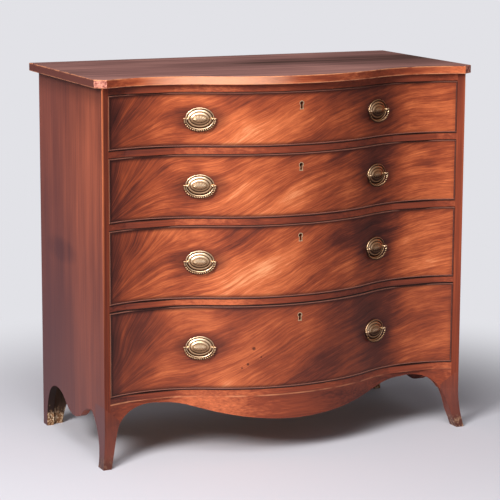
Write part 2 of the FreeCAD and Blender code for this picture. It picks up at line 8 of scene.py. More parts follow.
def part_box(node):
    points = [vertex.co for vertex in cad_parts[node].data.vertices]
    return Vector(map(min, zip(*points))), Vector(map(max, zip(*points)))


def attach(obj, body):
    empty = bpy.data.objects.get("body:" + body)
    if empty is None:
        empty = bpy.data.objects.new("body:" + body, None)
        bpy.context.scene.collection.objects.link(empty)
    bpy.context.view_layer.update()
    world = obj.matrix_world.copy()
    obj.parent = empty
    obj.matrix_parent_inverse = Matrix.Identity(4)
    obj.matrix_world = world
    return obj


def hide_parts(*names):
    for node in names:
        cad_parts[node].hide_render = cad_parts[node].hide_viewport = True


# Serpentine chest of drawers: finishes for the solids, and finer meshes for the brass handles.
# Lengths are in metres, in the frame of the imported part: +X right, +Y back, +Z up.

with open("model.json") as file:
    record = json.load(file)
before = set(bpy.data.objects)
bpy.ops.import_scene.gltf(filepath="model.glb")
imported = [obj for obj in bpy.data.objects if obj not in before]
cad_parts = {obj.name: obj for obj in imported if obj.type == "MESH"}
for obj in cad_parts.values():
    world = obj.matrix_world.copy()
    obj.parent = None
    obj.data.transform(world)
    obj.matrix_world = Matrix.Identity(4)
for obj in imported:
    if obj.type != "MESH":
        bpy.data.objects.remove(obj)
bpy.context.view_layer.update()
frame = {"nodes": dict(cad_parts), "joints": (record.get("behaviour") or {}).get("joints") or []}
nodes = frame["nodes"]
scene = bpy.context.scene
scene.view_settings.view_transform = "Standard"

MM = 0.001
DRAWERS = ("drawer_1", "drawer_2", "drawer_3", "drawer_4")
LOWEST_DRAWER = DRAWERS[-1]
SIDES = ("left", "right")

# Camera, fitted to the photograph
CAMERA_PLACE = (-2.1434, -4.6396, 1.4107)
CAMERA_YAW = math.radians(24.634)
CAMERA_PITCH = math.radians(10.4635)
CAMERA_ROLL = math.radians(0.26)
CAMERA_LENS = 146.21
CAMERA_SENSOR = 36.0

# Lamps: name, place, target, size, power and colour
LAMPS = (
    ("key", (-3.1, -2.1, 2.7), (0.0, -0.1, 0.5), 1.4, 175.0, (1.0, 0.985, 0.97)),
    ("top", (-1.0, -2.0, 3.6), (0.0, -0.1, 0.4), 2.0, 70.0, (1.0, 1.0, 1.0)),
)

# Places on the chest that the finishes follow
CARCASS_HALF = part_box("right_side")[1].x
SIDE_FRONT_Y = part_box("right_side")[0].y
SIDE_BACK_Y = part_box("right_side")[1].y
DRAWER_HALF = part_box("drawer_1_front")[1].x
TOP_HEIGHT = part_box("top_board")[1].z
TOP_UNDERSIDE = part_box("top_board")[0].z
FOOT_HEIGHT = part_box("apron")[1].z

# Handles
HANDLE_OFFSET = 240.0 * MM
PLATE_HALF_WIDTH = 35.5 * MM
PLATE_HALF_HEIGHT = 27.3 * MM
PIVOT_HEIGHT = 6.2 * MM


def srgb(red, green, blue):
    """Linear colour from 0 to 255 values as a picture shows them."""
    def linear(value):
        share = value / 255
        return share / 12.92 if share <= 0.04045 else ((share + 0.055) / 1.055) ** 2.4
    return (linear(red), linear(green), linear(blue), 1.0)


# Node trees

# Sockets of the mix node that hold its share, its two colours and its result
MIX_SHARE, MIX_FIRST, MIX_SECOND, MIX_RESULT = 0, 6, 7, 2

# Value about which the noise varies
NOISE_MIDDLE = 0.5

# Edge of a spot, as the square of its distance in half widths
SPOT_EDGE = 2.2

BUMP_DEPTH = 0.3 * MM


class Finish:
    """One material's node tree, with short calls for the nodes that the finishes share."""

    def __init__(self, name, roughness=0.5, metallic=0.0, gloss=0.5):
        self.material = bpy.data.materials.new(name)
        self.material.use_nodes = True
        self.tree = self.material.node_tree
        self.shader = self.tree.nodes["Principled BSDF"]
        self.shader.inputs["Roughness"].default_value = roughness
        self.shader.inputs["Metallic"].default_value = metallic
        self.shader.inputs["Specular IOR Level"].default_value = gloss
        coordinates = self.node("ShaderNodeTexCoord").outputs
        self.x, self.y, self.z = self.split(coordinates["Object"])
        self.normal_x, self.normal_y, self.normal_z = self.split(coordinates["Normal"])

    def node(self, kind, *values):
        made = self.tree.nodes.new(kind)
        for socket, value in zip(made.inputs, values):
            self.feed(socket, value)
        return made

    def feed(self, socket, value):
        if isinstance(value, bpy.types.NodeSocket):
            self.tree.links.new(value, socket)
        elif value is not None:
            socket.default_value = value

    def split(self, vector):
        return self.node("ShaderNodeSeparateXYZ", vector).outputs

    def join(self, x, y, z):
        return self.node("ShaderNodeCombineXYZ", x, y, z).outputs[0]

    def math(self, operation, *values):
        made = self.node("ShaderNodeMath", *values)
        made.operation = operation
        return made.outputs[0]

    def add(self, first, *others):
        for other in others:
            first = self.math("ADD", first, other)
        return first

    def subtract(self, first, second):
        return self.math("SUBTRACT", first, second)

    def times(self, first, *others):
        for other in others:
            first = self.math("MULTIPLY", first, other)
        return first

    def least(self, first, *others):
        for other in others:
            first = self.math("MINIMUM", first, other)
        return first

    def size(self, value):
        return self.math("ABSOLUTE", value)

    def away(self, value, centre, half_width):
        """Distance from a centre, in half widths."""
        return self.times(self.subtract(value, centre), 1 / half_width)

    def rise(self, value, none, full):
        """Smooth step from 0 at one value to 1 at another, where the first may be the larger."""
        made = self.node("ShaderNodeMapRange", value, none, full)
        made.interpolation_type = "SMOOTHSTEP"
        return made.outputs[0]

    def spot(self, across, up=0.0):
        """1 at the middle of an oval, fading to 0 outside it, from distances in half widths."""
        return self.rise(self.add(self.times(across, across), self.times(up, up)), none=SPOT_EDGE, full=0.0)

    def noise(self, vector, detail, roughness=0.55):
        made = self.tree.nodes.new("ShaderNodeTexNoise")
        self.feed(made.inputs["Vector"], vector)
        made.inputs["Scale"].default_value = 1.0
        made.inputs["Detail"].default_value = detail
        made.inputs["Roughness"].default_value = roughness
        return made.outputs[0]

    def vary(self, layer, amount):
        """A layer of noise as a change up and down from nothing."""
        return self.times(self.subtract(layer, NOISE_MIDDLE), amount)

    def blend(self, share, first, second):
        """Colour between two, by a share."""
        made = self.tree.nodes.new("ShaderNodeMix")
        made.data_type = "RGBA"
        self.feed(made.inputs[MIX_SHARE], share)
        self.feed(made.inputs[MIX_FIRST], first)
        self.feed(made.inputs[MIX_SECOND], second)
        return made.outputs[MIX_RESULT]

    def tint(self, colour, mask, other, strength):
        """Colour with some of another over it, where a mask is."""
        return self.blend(self.times(mask, strength), colour, other)

    def ramp(self, value, stops):
        """Colour from a list of (position, colour)."""
        made = self.node("ShaderNodeValToRGB", value)
        elements = made.color_ramp.elements
        while len(elements) < len(stops):
            elements.new(0.5)
        for element, (position, colour) in zip(elements, stops):
            element.position = position
            element.color = colour
        return made.outputs[0]

    def attribute(self, name):
        made = self.tree.nodes.new("ShaderNodeAttribute")
        made.attribute_name = name
        return made.outputs["Fac"]

    def finish(self, colour, height, bump_strength, roughness=None):
        """The material, with its colour, its bump and, where it varies, its roughness."""
        self.feed(self.shader.inputs["Base Color"], colour)
        self.feed(self.shader.inputs["Roughness"], roughness)
        bump = self.tree.nodes.new("ShaderNodeBump")
        bump.inputs["Strength"].default_value = bump_strength
        bump.inputs["Distance"].default_value = BUMP_DEPTH
        self.feed(bump.inputs["Height"], height)
        self.feed(self.shader.inputs["Normal"], bump.outputs[0])
        return self.material


def grain_place(wood, along, across, axis, shift=0.0):
    """Coordinates stretched along one axis of the chest: counts per metre along and across the grain."""
    scales = [across] * 3
    scales["xyz".index(axis)] = along
    parts = [wood.times(part, scale) for part, scale in zip((wood.x, wood.y, wood.z), scales)]
    return wood.join(wood.add(parts[0], shift), *parts[1:])


# Wood colours

HALO_COLOUR = srgb(52, 26, 24)
# Dirt and painted shade: along the beads, and the top's painted shadow on the sides
DIRT_AND_SHADE_COLOUR = srgb(40, 21, 20)
# Painted shadow in the gaps round the drawers
GAP_SHADE_COLOUR = srgb(26, 13, 12)
GREY_COLOUR = srgb(88, 54, 57)
DULL_COLOUR = srgb(122, 66, 52)
END_COLOUR = srgb(98, 54, 47)
FOOT_COLOUR = srgb(106, 64, 58)
TOE_COLOUR = srgb(66, 42, 36)
CHIP_COLOUR = srgb(190, 152, 122)
REAR_LEG_COLOUR = srgb(44, 30, 26)
# Painted highlight on the beads' upper bevels
BEVEL_HIGHLIGHT_COLOUR = srgb(184, 128, 108)
# Wear and painted highlight on the sides' front arrises
ARRIS_COLOUR = srgb(214, 120, 78)
# Wear and painted highlight on arrises, joints and bevels
WEAR_AND_HIGHLIGHT_COLOUR = srgb(222, 148, 106)
SHEEN_COLOUR = srgb(232, 186, 156)

# Dark and light of the unpolished woods
OAK_COLOURS = (srgb(120, 88, 54), srgb(184, 146, 98))
PINE_COLOURS = (srgb(84, 58, 38), srgb(142, 104, 66))
BRACKET_COLOURS = (srgb(40, 28, 24), srgb(84, 58, 42))

# Colours of the grain from dark to light: position and colour
FLAME_STOPS = (
    (0.0, srgb(50, 25, 23)),
    (0.28, srgb(97, 45, 34)),
    (0.52, srgb(152, 71, 43)),
    (0.76, srgb(206, 109, 65)),
    (1.0, srgb(243, 166, 116)),
)
RAIL_STOPS = ((0.0, srgb(60, 31, 31)), (0.5, srgb(142, 66, 43)), (1.0, srgb(228, 124, 78)))
TOP_STOPS = ((0.0, srgb(60, 38, 38)), (0.5, srgb(133, 93, 90)), (1.0, srgb(180, 130, 121)))
SIDE_STOPS = ((0.1, srgb(84, 40, 34)), (0.9, srgb(170, 90, 64)))
BEAD_STOPS = ((0.15, srgb(60, 32, 29)), (0.85, srgb(116, 66, 54)))
CANT_STOPS = ((0.36, srgb(120, 58, 52)), (0.62, srgb(224, 152, 130)))
CHIPPED_STOPS = ((0.36, srgb(66, 42, 32)), (0.5, srgb(160, 114, 76)), (0.64, srgb(240, 220, 188)))

POLISHED_BUMP = 0.08


# Flame veneer of the drawer fronts

# Slope of the grain at the middle, and how much of it is lost per metre to the right
FLAME_SLOPE = 0.38
FLAME_EASE = 0.30

# Downward bend of the grain at the left end, and how fast it fades per metre
BEND_DEPTH = 0.10
BEND_FADE = 5.0

# Fan of the grain at the left end: where it springs from, its spread and level, and where it sets in
FAN_X = -0.50
FAN_BELOW = 15 * MM
FAN_SPREAD = 0.2
FAN_LEVEL = 127 * MM
FAN_REACH = (-0.10, -0.34)

# Waves that bend the grain: counts per metre in x and z, detail and depth
GRAIN_WAVES = ((5.0, 6.0, 1.0, 52 * MM), (20.0, 26.0, 2.0, 4 * MM))

# Layers of streaks: counts per metre along and across the grain, detail and strength
FLAME_STREAKS = (
    (3.5, 40.0, 2.0, 0.40),
    (8.0, 120.0, 3.0, 0.54),
    (24.0, 360.0, 3.0, 0.48),
    (70.0, 800.0, 2.0, 0.28),
)
STREAK_ROUGHNESS = 0.6
FLAME_PORES = (40.0, 1400.0, 2.0)

# Clouds over the streaks: counts per metre in x and z, detail, strength and step of the seed
CLOUD_COUNTS = (9.0, 11.0)
CLOUD_DETAIL = 2.0
CLOUD_STRENGTH = 0.50
CLOUD_SEED = 5.0

# Broad lights and darks on every drawer front, partly the flame figure and partly painted light and shade:
# darker at the left end and by the right handle, where the front turns away from the light, and lighter
# where it turns toward it. Centre across and up the front, half width, half height, lean to the right with
# height, and how much lighter
FLAME_FIGURE_AND_LIGHT = (
    (-1.00, 0.50, 0.06, 1.50, 0.0, -0.22),
    (-0.88, 0.70, 0.14, 0.60, 0.0, -0.15),
    (-0.74, 0.25, 0.12, 0.50, 0.2, 0.06),
    (-0.60, 0.65, 0.10, 0.30, 0.0, -0.12),
    (-0.52, 0.98, 0.14, 0.25, 0.0, 0.16),
    (-0.20, 0.35, 0.24, 0.65, 0.3, 0.20),
    (0.02, 1.00, 0.48, 0.45, 0.0, -0.14),
    (0.52, 0.50, 0.16, 1.20, 0.0, -0.18),
    (0.85, 0.25, 0.22, 0.80, 0.0, 0.09),
)

# The same for the lowest front alone; its dark patch low in the middle is painted shade
LOWEST_FIGURE_AND_LIGHT = (
    (-0.55, 0.95, 0.22, 0.35, 0.0, 0.09),
    (0.02, 0.10, 0.26, 0.40, 0.0, -0.14),
)

# Tone of a front, and how dull its polish is; the lowest front's darker tone is partly painted shade
FRONT_TONE, FRONT_DULLNESS = 0.52, 0.0
LOWEST_TONE, LOWEST_DULLNESS = 0.46, 0.10

# Step of the seed from one front to the next
FRONT_SEED = 3.7

# Small knots in the lowest front: place in x and z, and radius
KNOTS = (
    (-0.117, 0.272, 4 * MM),
    (-0.131, 0.233, 3 * MM),
    (-0.099, 0.250, 2 * MM),
    (-0.145, 0.224, 2 * MM),
)

# Dark polish round a plate: width in plates, and level as a share of the front's height
HALO_WIDTH = 1.45
HALO_LEVEL = 0.52

# Dirt and painted shade along the beads, from none to full: by distance from them, and in x
BEAD_DIRT_AND_SHADE_REACH = (13 * MM, 3 * MM)
BEAD_DIRT_AND_SHADE_FADE = (0.8, -0.2)


def front_noise(wood, count_x, count_z, seed, detail):
    """Noise over the face of a drawer front: counts per metre in x and z."""
    return wood.noise(wood.join(wood.times(wood.x, count_x), seed, wood.times(wood.z, count_z)), detail)


def flame_grain(wood, low_z, seed):
    """Place across the grain, which is steep at the left end, nearly level at the right, and wanders."""
    bend = wood.math("EXPONENT", wood.times(wood.add(wood.x, DRAWER_HALF), -BEND_FADE))
    slope = wood.subtract(FLAME_SLOPE, wood.times(wood.x, FLAME_EASE))
    climb = wood.subtract(wood.times(wood.x, slope), wood.times(bend, BEND_DEPTH))
    level = wood.subtract(wood.z, climb)
    fan = wood.math("ARCTAN2", wood.add(wood.z, FAN_BELOW - low_z), wood.subtract(wood.x, FAN_X))
    fanned = wood.add(wood.times(fan, FAN_SPREAD), low_z + FAN_LEVEL)
    left = wood.rise(wood.x, *FAN_REACH)
    grain = wood.add(level, wood.times(left, wood.subtract(fanned, level)))
    for count_x, count_z, detail, depth in GRAIN_WAVES:
        wave = front_noise(wood, count_x, count_z, seed, detail)
        grain = wood.add(grain, wood.times(wave, depth))
    return grain


def add_figure_and_light(wood, shade, across, up, figure_and_light):
    """Shade of a front with the broad lights and darks of its figure, partly painted light and shade."""
    for centre, rise, half_width, half_height, lean, amount in figure_and_light:
        climbed = wood.subtract(up, rise)
        run = wood.subtract(wood.subtract(across, centre), wood.times(climbed, lean))
        oval = wood.spot(wood.times(run, 1 / half_width), wood.times(climbed, 1 / half_height))
        shade = wood.add(shade, wood.times(oval, amount))
    return shade


def add_knots(wood, colour, knots):
    for x, z, radius in knots:
        knot = wood.spot(wood.away(wood.x, x, radius), wood.away(wood.z, z, radius))
        colour = wood.tint(colour, knot, HALO_COLOUR, strength=0.8)
    return colour


def add_dark_polish_dirt_and_shade(wood, colour, up, low, high):
    """Colour of a front with dark polish round the plates, and dirt and painted shade along the beads."""
    across = wood.away(wood.size(wood.x), HANDLE_OFFSET, PLATE_HALF_WIDTH * HALO_WIDTH)
    halo = wood.spot(across, wood.away(up, HALO_LEVEL, PLATE_HALF_HEIGHT / (high.z - low.z)))
    colour = wood.tint(colour, halo, HALO_COLOUR, strength=0.65)
    side_gap = wood.subtract(DRAWER_HALF, wood.size(wood.x))
    gap = wood.least(side_gap, wood.subtract(wood.z, low.z), wood.subtract(high.z, wood.z))
    # Dirt and painted shade along the beads
    dirt_and_shade = wood.times(wood.rise(gap, *BEAD_DIRT_AND_SHADE_REACH), wood.rise(wood.x, *BEAD_DIRT_AND_SHADE_FADE))
    return wood.tint(colour, dirt_and_shade, DIRT_AND_SHADE_COLOUR, strength=0.75)


def flame_mahogany(drawer, seed, tone, dullness, figure_and_light, knots):
    """Polished flame veneer on one drawer front: plumes that rise from the lower left."""
    low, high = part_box(drawer + "_front")
    wood = Finish(drawer + "_flame_mahogany", roughness=0.34, gloss=0.2)
    across = wood.times(wood.x, 1 / DRAWER_HALF)
    up = wood.away(wood.z, low.z, high.z - low.z)
    grain = flame_grain(wood, low.z, seed)
    polish = 1 - dullness

    def streaks(along, count, detail):
        place = wood.join(wood.times(wood.x, along), seed, wood.times(grain, count))
        return wood.noise(place, detail, STREAK_ROUGHNESS)

    cloud = front_noise(wood, *CLOUD_COUNTS, seed + CLOUD_SEED, CLOUD_DETAIL)
    shade = wood.add(tone, wood.vary(cloud, CLOUD_STRENGTH * polish))
    for along, count, detail, strength in FLAME_STREAKS:
        shade = wood.add(shade, wood.vary(streaks(along, count, detail), strength * polish))
    # Figure, with painted light and shade along the turns of the front
    shade = add_figure_and_light(wood, shade, across, up, figure_and_light)
    colour = wood.blend(dullness, wood.ramp(shade, FLAME_STOPS), DULL_COLOUR)
    colour = add_knots(wood, colour, knots)
    colour = add_dark_polish_dirt_and_shade(wood, colour, up, low, high)
    return wood.finish(colour, streaks(*FLAME_PORES), POLISHED_BUMP)


# Plain mahogany

# Layers of the grain: counts per metre along and across it, detail, roughness and strength
PLAIN_LAYERS = (
    (1.6, 26.0, 3.0, 0.55, 0.7),
    (2.5, 120.0, 3.0, 0.6, 0.45),
    (6.0, 300.0, 4.0, 0.6, 0.6),
    (3.0, 5.0, 2.0, 0.55, 0.4),
)
PLAIN_PORES = (40.0, 1100.0)
PLAIN_TONE = 0.5

# Painted light and shade along the front, lighter where the polish catches the light and darker where it
# misses it: place in x, half width, and how much lighter
FRONT_PAINTED_LIGHT = (
    (-0.47, 0.06, -0.25),
    (-0.35, 0.06, -0.12),
    (-0.24, 0.09, 0.14),
    (0.18, 0.22, -0.18),
    (0.44, 0.09, 0.08),
)

# Lighter and darker patches on the sides: place from the front edge to the back as a share, place in z, half
# width as a share, half height, and how much lighter
SIDE_FADING = (
    (0.66, 0.488, 0.20, 0.026, -0.26),
    (0.34, 0.680, 0.26, 0.140, 0.06),
    (0.75, 0.360, 0.18, 0.120, -0.12),
    (0.20, 0.250, 0.25, 0.140, 0.04),
    (0.10, 0.840, 0.20, 0.120, -0.08),
    (0.85, 0.800, 0.25, 0.150, 0.10),
)

# Wear and painted highlight, strongest at the left where the light comes from: from none to full in x
LEFT_WEAR_AND_HIGHLIGHT = (0.9, -0.4)


def plain_grain(wood, axis, stops, shift, lighter=0.0, contrast=1.0):
    """Colour and pores of straight-grained mahogany, with soft ribbons along one axis."""
    tone = wood.add(lighter, PLAIN_TONE)
    for along, across, detail, roughness, strength in PLAIN_LAYERS:
        layer = wood.noise(grain_place(wood, along, across, axis, shift), detail, roughness)
        tone = wood.add(tone, wood.vary(layer, strength * contrast))
    pores = wood.noise(grain_place(wood, *PLAIN_PORES, axis, shift), detail=2.0)
    return wood.ramp(tone, stops), pores


def front_painted_light(wood):
    """How much lighter the plain wood is along the front, as painted light and shade."""
    lighter = 0.0
    for place, half_width, amount in FRONT_PAINTED_LIGHT:
        patch = wood.spot(wood.away(wood.x, place, half_width))
        lighter = wood.add(wood.times(patch, amount), lighter)
    return lighter


def side_fading(wood):
    """How much lighter the wood is over a side."""
    lighter = 0.0
    from_front = wood.away(wood.y, SIDE_FRONT_Y, SIDE_BACK_Y - SIDE_FRONT_Y)
    for place, height, half_width, half_height, amount in SIDE_FADING:
        patch = wood.spot(wood.away(from_front, place, half_width), wood.away(wood.z, height, half_height))
        lighter = wood.add(wood.times(patch, amount), lighter)
    return lighter


# Rails, apron and beads

# How much wider the painted gap shadow over the lowest drawer is
LOWEST_GAP_SHADE = 2.0 * MM

# How much lighter the apron gets per metre to the right
APRON_SLOPE = -0.28


def rail_mahogany(name, shift, slope=0.0):
    """Rail wood, with painted gap shadows along the drawers, and a joint over the apron made pale by wear
    and a painted highlight.
    """
    wood = Finish(name, roughness=0.38, gloss=0.2)
    # Painted light and shade along the front
    lighter = wood.add(front_painted_light(wood), wood.times(wood.x, slope))
    colour, pores = plain_grain(wood, "x", RAIL_STOPS, shift, lighter)
    gaps = []
    for drawer in DRAWERS:
        low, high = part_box(drawer + "_cock_beads")
        wider = LOWEST_GAP_SHADE if drawer == LOWEST_DRAWER else 0.0
        gaps.append(wood.size(wood.subtract(wood.z, low.z)))
        gaps.append(wood.subtract(wood.size(wood.subtract(wood.z, high.z)), wider))
    # Painted shadow in the gaps: near black next to each bead
    dirt_and_shade = wood.rise(wood.least(*gaps), none=3.5 * MM, full=1 * MM)
    colour = wood.tint(colour, dirt_and_shade, GAP_SHADE_COLOUR, strength=0.95)
    # Pale joint over the apron: wear, and a painted highlight where a ledge would catch the light
    joint = wood.rise(wood.size(wood.subtract(wood.z, FOOT_HEIGHT)), none=2.4 * MM, full=0.8 * MM)
    wear = wood.noise(grain_place(wood, along=12.0, across=40.0, axis="x"), detail=3.0)
    wear_and_highlight = wood.times(joint, wood.rise(wear, none=0.35, full=0.6), wood.rise(wood.x, *LEFT_WEAR_AND_HIGHLIGHT))
    colour = wood.tint(colour, wear_and_highlight, WEAR_AND_HIGHLIGHT_COLOUR, strength=0.7)
    return wood.finish(colour, pores, POLISHED_BUMP)


def bead_mahogany():
    """Dark beads whose upper bevels, and left ones at the left end, are pale with painted highlight and
    wear.
    """
    wood = Finish("bead_mahogany", roughness=0.3, gloss=0.25)
    colour, pores = plain_grain(wood, "x", BEAD_STOPS, shift=3.0)
    # Painted highlight, partly wear, on the upward and the left-facing bevels
    upper = wood.rise(wood.normal_z, none=0.3, full=0.6)
    colour = wood.tint(colour, upper, BEVEL_HIGHLIGHT_COLOUR, strength=0.45)
    facing_left = wood.rise(wood.normal_x, none=-0.5, full=-0.75)
    at_left = wood.rise(wood.x, none=0.1, full=-0.1)
    colour = wood.tint(colour, wood.times(facing_left, at_left), WEAR_AND_HIGHLIGHT_COLOUR, strength=0.6)
    return wood.finish(colour, pores, bump_strength=0.05)


# Top board

# Dark smudge on the face: place and half size in x and y, and how much lighter
SMUDGE_PLACE = (0.34, 0.05)
SMUDGE_HALF = (1 / 3.6, 1 / 9.0)
SMUDGE_LIGHTER = -0.42

# Lighter strip of the face: from none to full in y, and how much lighter
FRONT_STRIP = (-0.06, -0.25)
FRONT_LIGHTER = 0.2

# Share of the wear and painted highlight that the ends are spared
ENDS_SPARED = 0.5

# Front edge: how much lighter than the rails, and place and half width of its sheen in x
EDGE_LIGHTER = 0.25
SHEEN_PLACE = -0.2
SHEEN_HALF = 1 / 7.4


def top_face(wood):
    """Colour and pores of the face, with its smudge and its lighter front."""
    across = wood.away(wood.x, SMUDGE_PLACE[0], SMUDGE_HALF[0])
    back = wood.away(wood.y, SMUDGE_PLACE[1], SMUDGE_HALF[1])
    smudge = wood.times(wood.spot(across, back), SMUDGE_LIGHTER)
    front = wood.times(wood.rise(wood.y, *FRONT_STRIP), FRONT_LIGHTER)
    return plain_grain(wood, "x", TOP_STOPS, shift=5.0, lighter=wood.add(smudge, front), contrast=1.6)


def top_edge(wood, end):
    """Colour of the edge: bright along the front, with a sheen, mottled pink cants and dark ends."""
    # Painted light and shade along the front, on an edge lighter than the rails
    lighter = wood.add(front_painted_light(wood), EDGE_LIGHTER)
    edge = plain_grain(wood, "x", RAIL_STOPS, shift=9.0, lighter=lighter)[0]
    sheen = wood.spot(wood.away(wood.x, SHEEN_PLACE, SHEEN_HALF))
    edge = wood.tint(edge, sheen, SHEEN_COLOUR, strength=0.5)
    cant = wood.rise(wood.size(wood.normal_x), none=0.5, full=0.54)
    mottle = wood.noise(grain_place(wood, along=110.0, across=160.0, axis="x"), detail=4.0, roughness=0.7)
    edge = wood.blend(cant, edge, wood.ramp(mottle, CANT_STOPS))
    return wood.blend(end, edge, END_COLOUR)


def top_mahogany():
    """Dark face, brighter edge, and arrises pale with wear and painted highlight, less so at the ends."""
    wood = Finish("top_mahogany", roughness=0.45, gloss=0.1)
    face, pores = top_face(wood)
    end = wood.rise(wood.size(wood.normal_x), none=0.7, full=0.8)
    flat = wood.size(wood.normal_z)
    colour = wood.blend(wood.rise(flat, none=0.6, full=0.95), top_edge(wood, end), face)
    # Wear and painted highlight along the arrises
    from_arris = wood.least(wood.subtract(TOP_HEIGHT, wood.z), wood.subtract(wood.z, TOP_UNDERSIDE))
    arris = wood.times(wood.rise(from_arris, none=3 * MM, full=1 * MM), wood.rise(flat, none=0.99, full=0.9))
    wear = wood.noise(grain_place(wood, along=40.0, across=60.0, axis="x"), detail=3.0)
    inside_ends = wood.subtract(1.0, wood.times(end, ENDS_SPARED))
    wear_and_highlight = wood.times(arris, wood.rise(wear, none=0.3, full=0.6), inside_ends)
    colour = wood.blend(wear_and_highlight, colour, WEAR_AND_HIGHLIGHT_COLOUR)
    return wood.finish(colour, pores, POLISHED_BUMP)


# Sides and feet

# Broken rear feet: from sound to bare in z, and how ragged the edge between is
BROKEN_HEIGHT = (0.105, 0.075)
BROKEN_RAGGED = 0.12

# Sides: how grey at the back and at the floor, where they grey to the floor, and where the top shades
# them, from none to full in z
BACK_GREY = 0.5
FLOOR_GREY = 0.45
SIDE_GREYING = (0.8, 0.1)
TOP_SHADE = (0.86, 0.92)

# Stiles: how much darker than the rails, how much lighter again at the right, and where in x that sets in
STILE_DARKER = 0.22
STILE_LIGHTER = 0.14
STILE_STEP = (0.0, 0.1)

# Rear legs lie behind this stretch in y, and the front arrises are pale with wear and painted highlight over
# this one in z
REAR_LEG_PLACE = (0.0, 0.05)
ARRIS_WEAR_AND_HIGHLIGHT = (0.2, 0.8)

# Front feet: how much lighter than the rails, where they grey and where the toe is, from none to full
# in z, and how chipped the toe is, from none to full in x
FOOT_LIGHTER = -0.12
FOOT_GREYING = (0.18, 0.07)
TOE_HEIGHT = (40 * MM, 8 * MM)
CHIPPED_PLACE = (-1.0, 0.6)


def broken_foot(wood, colour):
    """Colour of a rear foot that is broken to bare golden wood at the floor, and its chips."""
    ragged = wood.noise(grain_place(wood, along=50.0, across=90.0, axis="z"), detail=4.0, roughness=0.7)
    bare = wood.rise(wood.add(wood.z, wood.times(ragged, BROKEN_RAGGED)), *BROKEN_HEIGHT)
    chips = wood.noise(grain_place(wood, along=190.0, across=260.0, axis="z"), detail=4.0, roughness=0.7)
    return wood.blend(bare, colour, wood.ramp(chips, CHIPPED_STOPS)), chips


def side_panel(wood):
    """Colour and pores of the outer face: upright grain, greyer to the back and floor, and darker at the top
    as a painted shadow of the top board.
    """
    panel, pores = plain_grain(wood, "z", SIDE_STOPS, shift=1.0, lighter=side_fading(wood), contrast=1.3)
    back = wood.rise(wood.y, SIDE_FRONT_Y, SIDE_BACK_Y)
    low = wood.rise(wood.z, *SIDE_GREYING)
    grey = wood.add(wood.times(back, BACK_GREY), wood.times(low, FLOOR_GREY))
    panel = wood.blend(grey, panel, GREY_COLOUR)
    # Painted shadow of the top on the upper part of the side
    return wood.tint(panel, wood.rise(wood.z, *TOP_SHADE), DIRT_AND_SHADE_COLOUR, strength=0.5), pores


def side_front(wood):
    """Colour of what faces forward: the orange stile, and the broken rear leg behind it."""
    lighter = wood.subtract(wood.times(wood.rise(wood.x, *STILE_STEP), STILE_LIGHTER), STILE_DARKER)
    stile = plain_grain(wood, "z", RAIL_STOPS, shift=4.0, lighter=lighter)[0]
    broken = broken_foot(wood, REAR_LEG_COLOUR)[0]
    return wood.blend(wood.rise(wood.y, *REAR_LEG_PLACE), stile, broken)


def side_mahogany():
    """Sides with a stile at the front, whose arris is pale with wear and painted highlight, most of all at
    the left.
    """
    wood = Finish("side_mahogany", roughness=0.45, gloss=0.12)
    panel, pores = side_panel(wood)
    facing = wood.rise(wood.normal_y, none=-0.35, full=-0.6)
    colour = wood.blend(facing, panel, side_front(wood))
    # Wear and painted highlight along the front arris
    near_front = wood.rise(wood.subtract(wood.y, SIDE_FRONT_Y), none=6 * MM, full=2 * MM)
    near_side = wood.rise(wood.subtract(CARCASS_HALF, wood.size(wood.x)), none=5 * MM, full=2 * MM)
    wear = wood.noise(grain_place(wood, along=9.0, across=60.0, axis="z"), detail=4.0)
    wear_and_highlight = wood.times(near_front, near_side, wood.rise(wear, none=0.1, full=0.45))
    wear_and_highlight = wood.times(wear_and_highlight, wood.rise(wood.z, *ARRIS_WEAR_AND_HIGHLIGHT), wood.rise(wood.x, *LEFT_WEAR_AND_HIGHLIGHT))
    colour = wood.blend(wear_and_highlight, colour, ARRIS_COLOUR)
    return wood.finish(colour, pores, bump_strength=0.1)


def foot_mahogany():
    """Rail wood that runs down the foot, greyer on its flanks, with a scuffed toe."""
    wood = Finish("foot_mahogany", roughness=0.42, gloss=0.15)
    colour, pores = plain_grain(wood, "z", RAIL_STOPS, shift=2.0, lighter=FOOT_LIGHTER)
    colour = wood.tint(colour, wood.rise(wood.z, *FOOT_GREYING), FOOT_COLOUR, strength=0.65)
    outward = wood.times(wood.math("SIGN", wood.x), wood.normal_x)
    colour = wood.tint(colour, wood.rise(outward, none=0.8, full=0.95), GREY_COLOUR, strength=0.8)
    toe = wood.rise(wood.z, *TOE_HEIGHT)
    colour = wood.tint(colour, toe, TOE_COLOUR, strength=0.6)
    scuff = wood.noise(grain_place(wood, along=90.0, across=140.0, axis="z"), detail=4.0, roughness=0.7)
    chipped = wood.times(toe, wood.rise(scuff, none=0.5, full=0.62), wood.rise(wood.x, *CHIPPED_PLACE))
    colour = wood.tint(colour, chipped, CHIP_COLOUR, strength=0.8)
    return wood.finish(colour, pores, bump_strength=0.12)


# Unpolished woods

BARE_BUMP = 0.15

# Positions of the dark and the light colour
BARE_RAMP = (0.32, 0.68)

# Shares of the rings and the fibre in the grain
RING_SHARE = 0.7
FIBRE_SHARE = 0.3


def bare_finish(name):
    return Finish(name, roughness=0.75, gloss=0.25)


def bare_grain(wood, axis, colours):
    """Colour and fibre of an unpolished board."""
    ring = wood.noise(grain_place(wood, along=1.5, across=60.0, axis=axis), detail=4.0, roughness=0.6)
    fibre = wood.noise(grain_place(wood, along=12.0, across=500.0, axis=axis), detail=3.0)
    tone = wood.add(wood.times(ring, RING_SHARE), wood.times(fibre, FIBRE_SHARE))
    return wood.ramp(tone, tuple(zip(BARE_RAMP, colours))), fibre


